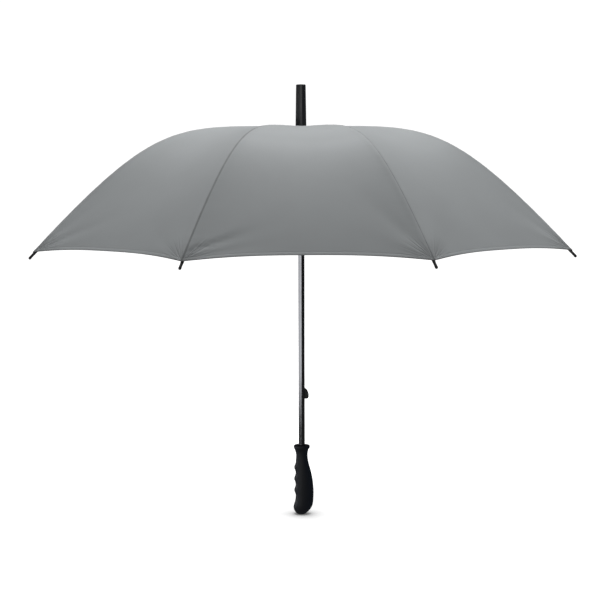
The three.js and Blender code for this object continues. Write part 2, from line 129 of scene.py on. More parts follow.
LINE_SHARES = np.linspace(0, 1, 4001)
LINE_STEPS = np.linalg.norm(np.diff(bezier(LINE_SHARES)[0], axis=0), axis=1)
LINE_LENGTHS = np.concatenate([[0], np.cumsum(LINE_STEPS)])
FABRIC_LENGTH = LINE_LENGTHS[-1]


def under_fabric(distance, depth):
    """(radius, height) in millimetres at a distance along the fabric line, this deep under it."""
    point, tangent = bezier(np.interp(distance, LINE_LENGTHS, LINE_SHARES))
    normal = np.stack([-tangent[..., 1], tangent[..., 0]], -1)
    return point - np.asarray(depth, float)[..., None] * normal


def distance_at_radius(radius, depth):
    """Where along the fabric line a point this deep under it has this radius."""
    distances = np.linspace(0, FABRIC_LENGTH, 6000)
    return float(np.interp(radius, under_fabric(distances, np.full(6000, depth))[:, 0], distances))


RIB_FABRIC_LENGTH = FABRIC_LENGTH - CORNER_SETBACK
SPLIT = distance_at_radius(FLEX_RADIUS, RIB_DEPTH) / RIB_FABRIC_LENGTH


def rib_angle(rib):
    return FIRST_RIB_ANGLE + (rib - 1) * RIB_STEP


# ---------- small helpers ----------


def new_object(name, data):
    made = bpy.data.objects.new(name, data)
    bpy.context.scene.collection.objects.link(made)
    return made


def mesh_object(name, vertices, faces, materials):
    mesh = bpy.data.meshes.new(name)
    mesh.from_pydata([tuple(v) for v in vertices], [], [tuple(f) for f in faces])
    for material in materials:
        mesh.materials.append(material)
    mesh.polygons.foreach_set("use_smooth", [True] * len(mesh.polygons))
    mesh.update()
    return new_object(name, mesh)


def lathe(name, outline, segments, material, matrix=None):
    """Turns an outline of (radius, height), in millimetres, about Z. It starts on the axis."""
    made = bmesh.new()
    rings = []
    for radius, height in outline:
        if radius < 1e-6:
            rings.append([made.verts.new((0, 0, height * MM))])
            continue
        ring = []
        for i in range(segments):
            angle = 2 * math.pi * i / segments
            ring.append(made.verts.new((
                radius * math.cos(angle) * MM,
                radius * math.sin(angle) * MM,
                height * MM,
            )))
        rings.append(ring)
    for low, high in zip(rings, rings[1:]):
        for i in range(segments):
            j = (i + 1) % segments
            if len(low) == 1:
                made.faces.new((low[0], high[j], high[i]))
            elif len(high) == 1:
                made.faces.new((low[i], low[j], high[0]))
            else:
                made.faces.new((low[i], low[j], high[j], high[i]))
    bmesh.ops.recalc_face_normals(made, faces=made.faces)
    if matrix is not None:
        made.transform(matrix)
    mesh = bpy.data.meshes.new(name)
    made.to_mesh(mesh)
    made.free()
    mesh.materials.append(material)
    shade_by_angle(mesh, 40)
    return new_object(name, mesh)


def shade_by_angle(mesh, degrees):
    """Smooth shading with edges sharper than this kept crisp."""
    mesh.polygons.foreach_set("use_smooth", [True] * len(mesh.polygons))
    mesh.set_sharp_from_angle(angle=math.radians(degrees))


def rounded(points, radius):
    """An outline with every corner between its ends rounded off, as far as its edges allow."""
    result = [points[0]]
    for before, corner, after in zip(points, points[1:], points[2:]):
        a, b, c = Vector(before), Vector(corner), Vector(after)
        reach = min(radius, (a - b).length * 0.45, (c - b).length * 0.45)
        start = b + (a - b).normalized() * reach
        end = b + (c - b).normalized() * reach
        for t in (0, 0.25, 0.5, 0.75, 1):
            result.append(tuple(start * (1 - t) ** 2 + b * 2 * t * (1 - t) + end * t * t))
    result.append(points[-1])
    return result


def rib_matrix(rib, radius, height, tilt):
    """Places something made about +Z on a rib: moved out to radius and height, and tipped outwards."""
    turn = Matrix.Rotation(rib_angle(rib), 4, "Z")
    place = Matrix.Translation((radius * MM, 0, height * MM))
    return turn @ place @ Matrix.Rotation(tilt, 4, "Y")


# ---------- materials ----------


def node_material(name):
    material = bpy.data.materials.new(name)
    material.use_nodes = True
    nodes = material.node_tree.nodes
    nodes.clear()
    output = nodes.new("ShaderNodeOutputMaterial")
    shader = nodes.new("ShaderNodeBsdfPrincipled")
    material.node_tree.links.new(shader.outputs["BSDF"], output.inputs["Surface"])
    return material, nodes, material.node_tree.links, shader


def noise(nodes, links, coordinates, scale, detail=3.0):
    texture = nodes.new("ShaderNodeTexNoise")
    texture.inputs["Scale"].default_value = scale
    texture.inputs["Detail"].default_value = detail
    texture.inputs["Roughness"].default_value = 0.55
    links.new(coordinates, texture.inputs["Vector"])
    return texture.outputs["Fac"]


def object_coordinates(nodes):
    return nodes.new("ShaderNodeTexCoord").outputs["Object"]


def ramp(nodes, links, value, stops):
    """A colour ramp through (position, colour) stops; a colour may be one grey value."""
    made = nodes.new("ShaderNodeValToRGB")
    elements = made.color_ramp.elements
    while len(elements) < len(stops):
        elements.new(0.5)
    for element, (position, colour) in zip(elements, stops):
        element.position = position
        grey = isinstance(colour, (int, float))
        element.color = (colour, colour, colour, 1) if grey else (*colour, 1)
    links.new(value, made.inputs["Fac"])
    return made.outputs["Color"]


def map_range(nodes, links, value, low, high, to_low, to_high, smooth=False):
    made = nodes.new("ShaderNodeMapRange")
    made.interpolation_type = "SMOOTHSTEP" if smooth else "LINEAR"
    for socket, number in (("From Min", low), ("From Max", high), ("To Min", to_low), ("To Max", to_high)):
        made.inputs[socket].default_value = number
    links.new(value, made.inputs["Value"])
    return made.outputs["Result"]


def fade(nodes, links, distance, near, far, strength=1.0):
    """This strength up to the near distance, running smoothly to nothing at the far one."""
    return map_range(nodes, links, distance, near, far, strength, 0.0, smooth=True)


def math_node(nodes, links, operation, first, second):
    made = nodes.new("ShaderNodeMath")
    made.operation = operation
    for socket, value in zip(made.inputs, (first, second)):
        if isinstance(value, (int, float)):
            socket.default_value = value
        else:
            links.new(value, socket)
    return made.outputs["Value"]


def mix_colour(nodes, links, factor, first, second):
    made = nodes.new("ShaderNodeMix")
    made.data_type = "RGBA"
    links.new(factor, made.inputs["Factor"])
    for name, value in (("A", first), ("B", second)):
        socket = next(s for s in made.inputs if s.name == name and s.type == "RGBA")
        if isinstance(value, tuple):
            socket.default_value = (*value, 1)
        else:
            links.new(value, socket)
    return next(s for s in made.outputs if s.type == "RGBA")


def bump(nodes, links, height, strength, distance, shader, normal=None):
    made = nodes.new("ShaderNodeBump")
    made.inputs["Strength"].default_value = strength
    made.inputs["Distance"].default_value = distance
    links.new(height, made.inputs["Height"])
    if normal is not None:
        links.new(normal, made.inputs["Normal"])
    links.new(made.outputs["Normal"], shader.inputs["Normal"])
    return made.outputs["Normal"]


def scaled(colour, share):
    return tuple(min(1.0, part * share) for part in colour)


def clouded(nodes, links, cloud, colour, share):
    """A colour that a cloud darkens and lightens by up to this share."""
    stops = [(0.3, scaled(colour, 1 - share)), (0.7, scaled(colour, 1 + share))]
    return ramp(nodes, links, cloud, stops)


def attribute(nodes, name):
    made = nodes.new("ShaderNodeAttribute")
    made.attribute_type = "GEOMETRY"
    made.attribute_name = name
    return made.outputs["Fac"]


def cloth_colour(nodes, links, colour, cloud, hem, seam, gathered):
    """Slightly clouded cloth with painted light on it: painted shade in the seams' grooves, along the
    hem's edge and in the gathered corners, and a painted highlight on the hem's raised fold. Each mark has
    a mask and how light it is.
    """
    dark, light = scaled(colour, 0.975), scaled(colour, 1.025)
    base = ramp(nodes, links, cloud, [(0.35, dark), (0.65, light)])
    fleck = noise(nodes, links, object_coordinates(nodes), 900.0, 2.0)
    base = mix_colour(nodes, links, map_range(nodes, links, fleck, 0.3, 0.7, 0.0, 0.12), base, dark)
    # Painted shade: a dark line down each seam's groove, fainter at the slack seam.
    seam_groove_shade = fade(nodes, links, seam, 0.7, 2.7, 0.66)
    # Painted highlight: the band over the hem's raised fold is lighter.
    hem_fold_highlight = fade(nodes, links, hem, HEM_WIDTH - HEM_STEP, HEM_WIDTH, 0.16)
    # Painted shade along the hem's lower edge, darkest towards the corners.
    hem_shade_near_corner = map_range(nodes, links, seam, 10, 110, 0.95, 0.35)
    hem_edge_shade = math_node(nodes, links, "MULTIPLY", fade(nodes, links, hem, 0.8, 2.4), hem_shade_near_corner)
    # Painted shade: the cloth is darker in the gathered corners.
    corner = math_node(nodes, links, "MULTIPLY", gathered, 0.38)
    for mask, share in ((seam_groove_shade, 0.3), (hem_fold_highlight, 1.5), (hem_edge_shade, 0.28), (corner, 0.3)):
        base = mix_colour(nodes, links, mask, base, scaled(colour, share))
    return base


def cloth_bump(nodes, links, hem, seam, gathered, shader):
    """The weave, a faint crinkle and the fine pleats that fan out of each corner."""
    combine = nodes.new("ShaderNodeCombineXYZ")
    links.new(seam, combine.inputs["X"])
    links.new(hem, combine.inputs["Y"])
    threads = []
    for direction in ("X", "Y"):
        wave = nodes.new("ShaderNodeTexWave")
        wave.bands_direction = direction
        wave.inputs["Scale"].default_value = 0.32
        wave.inputs["Distortion"].default_value = 0.4
        wave.inputs["Detail"].default_value = 1.0
        links.new(combine.outputs["Vector"], wave.inputs["Vector"])
        threads.append(wave.outputs["Fac"])
    weave = math_node(nodes, links, "ADD", *threads)
    woven = bump(nodes, links, weave, 0.12, 0.00006, shader)
    crinkle = noise(nodes, links, object_coordinates(nodes), 38.0)
    crinkled = bump(nodes, links, crinkle, 0.08, 0.0006, shader, woven)
    pleats = nodes.new("ShaderNodeTexNoise")
    pleats.noise_dimensions = "1D"
    pleats.inputs["Scale"].default_value = 7.0
    links.new(math_node(nodes, links, "ARCTAN2", hem, seam), pleats.inputs["W"])
    height = math_node(nodes, links, "MULTIPLY", pleats.outputs["Fac"], gathered)
    bump(nodes, links, height, 0.6, 0.004, shader, crinkled)


def cloth_material(name, colour, metallic, roughness):
    """Close woven cloth, gathered at its corners. Roughness is the lowest and the highest. The mesh's
    attributes hem and seam say how far, in millimetres, a point is from the hem and from the nearest
    rib's seam."""
    material, nodes, links, shader = node_material(name)
    hem, seam = attribute(nodes, "hem"), attribute(nodes, "seam")
    squares = [math_node(nodes, links, "MULTIPLY", side, side) for side in (hem, seam)]
    from_corner = math_node(nodes, links, "SQRT", math_node(nodes, links, "ADD", *squares), 0.0)
    # How gathered the cloth is near each corner; this drives the pleats' bump and the painted shade there.
    gathered = fade(nodes, links, from_corner, 4, 62)
    cloud = noise(nodes, links, object_coordinates(nodes), 9.0, 2.0)
    base = cloth_colour(nodes, links, colour, cloud, hem, seam, gathered)
    links.new(base, shader.inputs["Base Color"])
    links.new(map_range(nodes, links, cloud, 0.3, 0.7, *roughness), shader.inputs["Roughness"])
    shader.inputs["Metallic"].default_value = metallic
    shader.inputs["Sheen Weight"].default_value = 0.15
    shader.inputs["Sheen Roughness"].default_value = 0.4
    cloth_bump(nodes, links, hem, seam, gathered, shader)
    return material


def plastic_material(name, colour, roughness, grain_scale, grain_height, specular=0.3):
    """Moulded plastic or rubber with a fine grain, slightly uneven in colour and gloss."""
    material, nodes, links, shader = node_material(name)
    place = object_coordinates(nodes)
    cloud = noise(nodes, links, place, 45.0, 4.0)
    links.new(clouded(nodes, links, cloud, colour, 0.08), shader.inputs["Base Color"])
    gloss = map_range(nodes, links, cloud, 0.3, 0.7, roughness - 0.03, roughness + 0.03)
    links.new(gloss, shader.inputs["Roughness"])
    grain = noise(nodes, links, place, grain_scale)
    bump(nodes, links, grain, 0.35, grain_height, shader)
    shader.inputs["Specular IOR Level"].default_value = specular
    return material


def metal_material(name, colour, roughness, metallic, brush_axis="Z"):
    """Painted or bare metal with faint streaks along one axis and a slightly uneven gloss."""
    material, nodes, links, shader = node_material(name)
    place = object_coordinates(nodes)
    mapping = nodes.new("ShaderNodeMapping")
    scale = {"X": (0.05, 1, 1), "Z": (1, 1, 0.05)}[brush_axis]
    mapping.inputs["Scale"].default_value = scale
    links.new(place, mapping.inputs["Vector"])
    streak = noise(nodes, links, mapping.outputs["Vector"], 700.0)
    cloud = noise(nodes, links, place, 30.0)
    links.new(clouded(nodes, links, cloud, colour, 0.08), shader.inputs["Base Color"])
    shader.inputs["Metallic"].default_value = metallic
    gloss = map_range(nodes, links, streak, 0.3, 0.7, roughness - 0.02, roughness + 0.04)
    links.new(gloss, shader.inputs["Roughness"])
    bump(nodes, links, streak, 0.012, 0.00002, shader)
    return material


CANOPY = cloth_material("canopy_outer", (0.316, 0.334, 0.342), 0.12, (0.54, 0.58))
LINING = cloth_material("canopy_lining", (0.21, 0.215, 0.22), 0.0, (0.62, 0.68))
SHAFT_PAINT = metal_material("shaft_paint", (0.12, 0.122, 0.13), 0.14, 0.88)
RIB_STEEL = metal_material("rib_steel", (0.035, 0.035, 0.038), 0.38, 0.5, "X")
ROD_BLACK = plastic_material("rib_rod", (0.022, 0.022, 0.024), 0.42, 900, 0.00004)
TIP_BLACK = plastic_material("tip_plastic", (0.006, 0.006, 0.007), 0.3, 1200, 0.00003)
MOULDED = plastic_material("moulded_plastic", (0.012, 0.012, 0.014), 0.42, 1500, 0.00005)
FERRULE_GREY = plastic_material("ferrule_plastic", (0.013, 0.0135, 0.017), 0.4, 1300, 0.00004, 0.5)
GRIP_RUBBER = plastic_material("grip_rubber", (0.005, 0.009, 0.018), 0.62, 1600, 0.00008)
BARE_STEEL = metal_material("bare_steel", (0.5, 0.5, 0.51), 0.32, 1.0)

# ---------- camera ----------


def make_camera():
    """The view: level with the canopy's lower half, looking slightly down from the -Y side."""
    turn, pitch, roll = math.radians(1.25), math.radians(5.24), math.radians(0.15)
    distance, height, sideways = 2.4988, 0.6390, 0.0026
    camera = new_object("camera", bpy.data.cameras.new("camera"))
    camera.data.sensor_width = 36.0
    camera.data.lens = 79.94
    right = Vector((math.cos(turn), -math.sin(turn), 0))
    level = Vector((math.sin(turn), math.cos(turn), 0))
    ahead = level * math.cos(pitch) - Vector((0, 0, math.sin(pitch)))
    camera.location = Vector((0, 0, height)) - level * distance - right * sideways
    rolled = Matrix.Rotation(-roll, 3, "Z").to_quaternion()
    camera.rotation_mode = "QUATERNION"
    camera.rotation_quaternion = ahead.to_track_quat("-Z", "Y") @ rolled
    camera.data.clip_start, camera.data.clip_end = 0.05, 60.0
    bpy.context.scene.camera = camera


make_camera()

# ---------- canopy ----------


def gore_wrinkles():
    """For each gore and each of its two lower corners, a few soft creases that fan out of the corner.
    Each is (direction, reach, spread, height, start): its direction above the hem and its spread in
    degrees, then how far out it is highest, how high, and how far up the seam it starts, in
    millimetres."""
    random = np.random.default_rng(SEED)
    creases = {}
    for gore in range(1, RIB_COUNT + 1):
        for side in (-1, 1):
            fan = []
            for direction in (14, 30, 48, 68):
                turn = direction + random.uniform(-6, 6)
                reach = random.uniform(32, 60)
                spread = random.uniform(5, 9)
                fan.append((turn, reach, spread, random.uniform(0.2, 0.45) * (-1) ** len(fan), 0))
            creases[gore, side] = fan
    return creases


CREASES = gore_wrinkles()
# The deeper folds at the near corners: the front gore's left and right one, then the left and right
# one of the gore to its right.
CREASES[8, -1] = [(22, 27, 6, -1.8, 17), (10, 44, 4, -0.5, 4), (46, 50, 7, 0.4, 0)]
CREASES[8, 1] = [(66, 62, 7, -0.8, 0), (38, 44, 9, 0.35, 0)]
CREASES[1, -1] = [(64, 60, 8, 0.9, 0), (30, 44, 8, -0.4, 0)]
CREASES[1, 1] = [(62, 34, 8, -0.9, 0), (34, 40, 7, 0.3, 0)]


def seam_tightness(rib):
    """How deep a rib's seam is pulled, 1 for most; the seam at the near right is slack. A slacker seam
    dips less, and the painted shade in its groove fades as if it were up to SLACK_SEAM_FADE away."""
    return 0.45 if rib == 1 else 1.0


def bell(distance, width):
    """1 at no distance, falling to nothing smoothly beyond this width."""
    return np.exp(-((distance / width) ** 2))


def half_width(along):
    """From a gore's middle to its rib's seam, in millimetres."""
    return under_fabric(along * RIB_FABRIC_LENGTH, 0 * along)[..., 0] * math.sin(GORE_HALF_ANGLE)


def crease_relief(seam, hem, crease):
    """One crease: full height at its reach, widening away from the corner."""
    direction, reach, spread, height, start = crease
    out = np.hypot(seam, hem - start)
    turned = np.degrees(np.arctan2(hem - start, np.maximum(seam, 1e-6))) - direction
    width = CREASE_WIDTH + out * math.tan(math.radians(spread))
    ridge = bell(out * np.sin(np.radians(turned)), width) * (np.abs(turned) < CREASE_FAN)
    return height * ridge * (out / reach) ** 1.5 * np.exp(1.5 * (1 - out / reach))


def gore_relief(gore, along, across):
    """How far, in millimetres, the cloth stands out of its smooth shape: hem, seams and creases."""
    half = half_width(along)
    hem = (1 - along) * RIB_FABRIC_LENGTH
    relief = HEM_RISE * np.clip((HEM_WIDTH - hem) / HEM_STEP, 0, 1) * np.clip(hem / HEM_STEP, 0.2, 1)
    relief -= STITCH_DIP * bell(hem - HEM_WIDTH - STITCH_OFFSET, STITCH_WIDTH)
    short_wave, long_wave = (hem * 2 * math.pi / wave for wave in PUCKER_WAVES)
    for side in (-1, 1):
        seam = (1 - side * across) * half
        tight = seam_tightness(gore if side == -1 else gore % RIB_COUNT + 1)
        relief -= tight * SEAM_DIP * bell(seam, SEAM_WIDTH)
        relief += SEAM_FOLD_RISE * bell(seam - SEAM_FOLD_OFFSET, SEAM_FOLD_WIDTH)
        pucker = np.sin(short_wave + 2 * gore + side) * np.sin(long_wave + gore)
        fading = np.exp(-seam / PUCKER_REACH) * np.clip(half / NARROW_GORE, 0, 1)
        relief += PUCKER_RISE * fading * pucker
        for crease in CREASES[gore, side]:
            relief += crease_relief(seam, hem, crease)
    return relief


def gore_point(gore, along, across):
    """A point of a gore's outer face in the frame, in metres: along runs 0 to 1 from crown to hem,
    and across runs -1 to 1 from rib to rib."""
    distance = along * (RIB_FABRIC_LENGTH - HEM_SCALLOP * (1 - np.abs(across) ** HEM_POWER))
    sag = GORE_SAG * np.sin(math.pi * along) ** 2 * (1 - across**2)
    rib = under_fabric(distance, sag - gore_relief(gore, along, across))
    angle = across * GORE_HALF_ANGLE
    radius = rib[..., 0] * math.cos(GORE_HALF_ANGLE) / np.cos(angle)
    turn = angle + rib_angle(gore) + GORE_HALF_ANGLE
    return np.stack([radius * np.cos(turn), radius * np.sin(turn), rib[..., 1]], -1) * MM


def gore_normal(gore, along, across):
    """The outer face's normal, from small steps that stay on the gore."""
    step = 1e-4
    left, right = np.clip(across - step, -1, 1), np.clip(across + step, -1, 1)
    up, down = np.clip(along - step, 0, 1), np.clip(along + step, 0, 1)
    sideways = gore_point(gore, along, right) - gore_point(gore, along, left)
    downwards = gore_point(gore, down, across) - gore_point(gore, up, across)
    normal = np.cross(downwards, sideways)
    return normal / np.linalg.norm(normal, axis=-1, keepdims=True)


def row_positions(part):
    """How far along its gore each row of a piece lies, closer together at the hem."""
    if part == "inner":
        count = round(SPLIT * RIB_FABRIC_LENGTH / ROW_SPACING)
        return np.linspace(0, SPLIT, count + 1)
    start = SPLIT * RIB_FABRIC_LENGTH
    stop = RIB_FABRIC_LENGTH - HEM_ROWS[0]
    body = np.linspace(start, stop, round((stop - start) / ROW_SPACING) + 1)
    return np.concatenate([body, RIB_FABRIC_LENGTH - np.array(HEM_ROWS[1:])]) / RIB_FABRIC_LENGTH


def column_positions(along, side):
    """How far across its gore each point of a row lies, from the left as seen from outside. Side is
    -1 for the half gore beside the lower-numbered rib."""
    half = half_width(along)
    seam = np.array(SEAM_COLUMNS) * min(1, half / NARROW_GORE)
    body = np.linspace(seam[-1], half, BODY_COLUMNS + 1)[1:]
    across = 1 - np.concatenate([seam, body]) / half
    return across[::-1] if side == 1 else -across


def shell_faces(rows, columns):
    """The faces of a closed shell whose vertices are a grid of outer points, then one of inner ones."""
    corner = np.arange(rows * columns).reshape(rows, columns)
    a, b = corner[:-1, :-1], corner[1:, :-1]
    c, d = corner[1:, 1:], corner[:-1, 1:]
    outer = np.stack([a, b, c, d], -1).reshape(-1, 4)
    inner = np.stack([d, c, b, a], -1).reshape(-1, 4) + corner.size
    border = [*corner[:-1, 0], *corner[-1, :-1], *corner[:0:-1, -1], *corner[0, :0:-1]]
    walls = [
        (after, before, before + corner.size, after + corner.size)
        for before, after in zip(border, border[1:] + border[:1])
    ]
    return outer, inner, walls


def cloth_piece(name, gore, side, part, rib):
    """Half a gore's inner or outer part as a closed, thin shell. The outer part has a thin flap that
    lies inside the thickness of the inner one, and shows only where the two open as ribs fold."""
    rows = [(along, 0.0, CLOTH_THICKNESS) for along in row_positions(part)]
    if part == "outer":
        hidden = [CLOTH_THICKNESS * share for share in FLAP_FACES]
        flap = [SPLIT - FLAP_LENGTH * share / RIB_FABRIC_LENGTH for share in (1, 0.5, 0)]
        rows = [(along, *hidden) for along in flap] + rows
    across = np.array([column_positions(row[0], side) for row in rows])
    along, top_depth, under_depth = (
        np.repeat([[row[i]] for row in rows], across.shape[1], axis=1) for i in range(3)
    )
    normal = gore_normal(gore, along, across)
    surface = gore_point(gore, along, across)
    top = surface - normal * top_depth[..., None] * MM
    under = surface - normal * under_depth[..., None] * MM
    outer, inner, walls = shell_faces(*across.shape)
    vertices = np.concatenate([top.reshape(-1, 3), under.reshape(-1, 3)])
    piece = mesh_object(name, vertices, [*outer.tolist(), *inner.tolist(), *walls], [CANOPY, LINING])
    mesh = piece.data
    slots = [0] * len(outer) + [1] * len(inner) + [0] * len(walls)
    mesh.polygons.foreach_set("material_index", slots)
    flat = normal.reshape(-1, 3)
    wall_normals = [tuple(face.normal) for face in mesh.polygons[len(outer) + len(inner):]]
    corners = [flat[outer.ravel()], -flat[inner.ravel() - across.size], np.repeat(wall_normals, 4, axis=0)]
    mesh.normals_split_custom_set(np.concatenate(corners).tolist())
    # A slack seam measures as further off, so the painted shade in its groove is fainter.
    slack = SLACK_SEAM_FADE * (1 - seam_tightness(rib))
    measures = {
        "hem": (1 - along) * RIB_FABRIC_LENGTH,
        "seam": (1 - np.abs(across)) * half_width(along) + slack,
    }
    for key, values in measures.items():
        made = mesh.attributes.new(key, "FLOAT", "POINT")
        made.data.foreach_set("value", np.tile(values.ravel(), 2).astype(np.float32))
    return piece


def fold_half_gore(piece):
    """Gives a half gore a mesh of its own."""
    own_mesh(piece)


def make_canopy():
    bodies = {"inner": "rib_arm_{}", "outer": "rib_end_{}"}
    for gore in range(1, RIB_COUNT + 1):
        for side, word in ((-1, "left"), (1, "right")):
            rib = gore if side == -1 else gore % RIB_COUNT + 1
            for part in ("inner", "outer"):
                piece = cloth_piece(f"canopy_gore_{gore}_{word}_{part}", gore, side, part, rib)
                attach(piece, bodies[part].format(rib))
                fold_half_gore(piece)
                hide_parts(f"canopy_panel_{gore}")


make_canopy()

# ---------- grip ----------


def smooth_through(stops):
    """A function that runs smoothly through (position, value) stops, level at a peak or a dip."""
    x = np.array([stop[0] for stop in stops], float)
    y = np.array([stop[1] for stop in stops], float)
    secants = np.diff(y) / np.diff(x)
    slopes = np.concatenate([[secants[0]], (secants[1:] + secants[:-1]) / 2, [secants[-1]]])
    turns = np.concatenate([[False], secants[1:] * secants[:-1] <= 0, [False]])
    slopes[turns] = 0

    def value(position):
        i = np.clip(np.searchsorted(x, position) - 1, 0, len(x) - 2)
        width = x[i + 1] - x[i]
        t = (position - x[i]) / width
        return (
            y[i] * (2 * t**3 - 3 * t**2 + 1)
            + slopes[i] * width * (t**3 - 2 * t**2 + t)
            + y[i + 1] * (3 * t**2 - 2 * t**3)
            + slopes[i + 1] * width * (t**3 - t**2)
        )

    return value


grip_right = smooth_through([
    (0, 6.2), (2, 8.7), (4, 11.2), (8, 15.2), (14, 19.1), (20, 21.1), (30, 22.1), (42, 22.5),
    (56, 21.8), (70, 20), (84, 17.1), (98, 13.3), (112, 11.2), (120, 11.6), (125, 13),
    (128.5, 15.3), (131.4, 15.4), (GRIP_TOP, 14.6),
])
grip_left = smooth_through([
    (0, 8), (2, 10.9), (4, 12.5), (8, 14.9), (13, 16), (18, 15.2), (23, 13.6), (28, 12.4), (36, 11.8),
    (57, 12.1), (80, 12), (99, 11.8), (112, 10.9), (120, 12), (125, 13.5), (128.5, 15.3),
    (131.4, 15.4), (GRIP_TOP, 14.6),
])
grip_depth = smooth_through([
    (0, 6.8), (2, 9.4), (4, 11), (8, 13.2), (14, 14.7), (26, 15.5), (46, 15.6), (70, 14.8),
    (90, 13.3), (112, 11), (120, 11.6), (125, 13), (128.5, 15.2), (131.4, 15.4), (GRIP_TOP, 14.6),
])
RIDGE_HEIGHTS = (46, 68.3, 90.3)
RIDGE_HALF_WIDTH = 9.5
RIDGE_RISE = 2.6


def make_grip():
    """The moulded grip: a lofted body with finger ridges on its -X side and a mouth for the shaft."""
    around = 72
    foot = [0, 0.4, 1, 1.8, 3, 4.5, 6.3, 8.3]
    lip = [125.3, 126.6, 127.8, 128.8, 129.8, 130.7, 131.5, 132.1, GRIP_TOP]
    levels = np.concatenate([foot, np.linspace(10.5, 124, 88), lip])
    angles = np.arange(around) * 2 * math.pi / around
    side, across = np.cos(angles), np.sin(angles)
    vertices = []
    for level in levels:
        away = np.minimum(np.abs(level - np.array(RIDGE_HEIGHTS)) / RIDGE_HALF_WIDTH, 1)
        ridge = RIDGE_RISE * float(np.sum(np.cos(away * math.pi / 2) ** 2))
        back = grip_left(level) + ridge * np.clip(-side, 0, 1) ** 2
        x = np.where(side > 0, grip_right(level) * side, back * side)
        y = grip_depth(level) * across
        vertices += [(a * MM, b * MM, level * MM) for a, b in zip(x, y)]
    mouth = [(11.5, 0), (8.2, 0.3), (7.2, 1), (6.35, 2.5), (6.35, 9)]
    for radius, drop in mouth:
        height = (GRIP_TOP - drop) * MM
        vertices += [(radius * c * MM, radius * s * MM, height) for c, s in zip(side, across)]
    faces = []
    last = len(vertices) - around
    for ring in range(0, last, around):
        for i in range(around):
            j = (i + 1) % around
            faces.append((ring + i, ring + j, ring + around + j, ring + around + i))
    faces.append(tuple(reversed(range(around))))
    faces.append(tuple(range(last, last + around)))
    grip = mesh_object("grip", vertices, faces, [GRIP_RUBBER])
    shade_by_angle(grip.data, 50)
    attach(grip, "frame")
    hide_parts("handle_grip", "handle_core")


make_grip()

# ---------- ferrule and tips ----------


def make_ferrule():
    low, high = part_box("ferrule")
    base, top = low.z / MM, high.z / MM
    outline = rounded([(0, base), (10.1, base), (9, top - 1.0), (8.1, top), (0, top)], 0.9)
    ferrule = lathe("ferrule_cap", outline, 64, FERRULE_GREY)
    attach(ferrule, "frame")
    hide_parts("ferrule")


def make_tip(rib):
    """A moulded peg on the rib's end, its collar under the canopy's corner."""
    start = under_fabric(FABRIC_LENGTH - TIP_LENGTH, RIB_DEPTH)
    end = under_fabric(FABRIC_LENGTH, RIB_DEPTH)
    tilt = math.atan2(end[0] - start[0], end[1] - start[1])
    outline = [(0, 0.1), (2.1, 0.1), (2.5, 0.5), (2.5, 7.9), (2.45, 8.4), (2.35, 9.3), (2.3, 10),
               (2.3, 16.6), (2.45, 17.2), (2.5, 18.6), (2.3, 19.7), (1.7, 20.6), (0.9, 21.1), (0, 21.2)]
    matrix = rib_matrix(rib, start[0], start[1], tilt)
    tip = lathe(f"tip_{rib}", outline, 28, TIP_BLACK, matrix)
    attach(tip, f"rib_end_{rib}")
    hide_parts(f"rib_tip_{rib}")


make_ferrule()
for rib in range(1, RIB_COUNT + 1):
    make_tip(rib)

# ---------- catch springs ----------


def make_catch_spring(catch):
    """A leaf spring behind a catch."""
    low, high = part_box(catch)
    middle = (low.z + high.z) / 2 / MM
    bends = [(-46, -4.6), (-34, -4.5), (-12, -1), (0, 2.2), (7, 1.6)]
    bend = smooth_through(bends)
    half_thickness, half_breadth, pressed_flat_at = 0.2, 1.5, -5.2
    vertices = []
    for rise in np.linspace(bends[0][0], bends[-1][0], 41):
        for towards, aside in ((-1, -1), (1, -1), (1, 1), (-1, 1)):
            vertices.append((
                (float(bend(rise)) + towards * half_thickness) * MM,
                aside * half_breadth * MM,
                (middle + rise) * MM,
            ))
    last = len(vertices) - 4
    faces = [(0, 1, 2, 3), (last + 3, last + 2, last + 1, last)]
    for ring in range(0, last, 4):
        for i in range(4):
            j = (i + 1) % 4
            faces.append((ring + j, ring + i, ring + 4 + i, ring + 4 + j))
    spring = mesh_object(f"{catch}_leaf", vertices, faces, [BARE_STEEL])
    shade_by_angle(spring.data, 30)
    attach(spring, "frame")
    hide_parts(f"{catch}_spring")
    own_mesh(spring)


for catch in ("bottom_catch", "top_catch"):
    make_catch_spring(catch)

# ---------- CAD parts that stay ----------

# Each kind of part's material and how far, in millimetres, its edges are softened.
CAD_FINISH = {
    "shaft_tube": (SHAFT_PAINT, 0.15),
    "bottom_catch": (MOULDED, 0.35),
    "top_catch": (MOULDED, 0.35),
    "top_notch": (MOULDED, 0.2),
    "notch_wire": (BARE_STEEL, 0.0),
    "notch_pin": (BARE_STEEL, 0.15),
    "runner_stop_pin": (BARE_STEEL, 0.15),
    "ferrule_washer": (MOULDED, 0.15),
    "runner": (MOULDED, 0.25),
    "runner_wire": (BARE_STEEL, 0.0),
    "rib_inner": (RIB_STEEL, 0.0),
    "rib_outer": (ROD_BLACK, 0.0),
    "stretcher": (RIB_STEEL, 0.2),
}


def finish_cad_parts():
    """Gives each CAD part that shows its material, smooth round faces and softened edges."""
    for name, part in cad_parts.items():
        stem = name.rstrip("0123456789").rstrip("_")
        if stem not in CAD_FINISH:
            continue
        material, edge = CAD_FINISH[stem]
        part.data.materials.clear()
        part.data.materials.append(material)
        shade_by_angle(part.data, 32)
        if edge:
            bevel = part.modifiers.new("edge", "BEVEL")
            bevel.width = edge * MM
            bevel.segments = 2
            bevel.limit_method = "ANGLE"
            bevel.angle_limit = math.radians(40)


finish_cad_parts()

# ---------- studio ----------

FLOOR_RADIUS = 12000.0
FLOOR_DROP = 0.2
BACKDROP_RADIUS = 11.9


def camera_only(thing):
    """Hides a stage object from every ray but the camera's, so that it neither lights nor shades."""
    for ray in ("diffuse", "glossy", "transmission", "volume_scatter", "shadow"):
        setattr(thing, f"visible_{ray}", False)


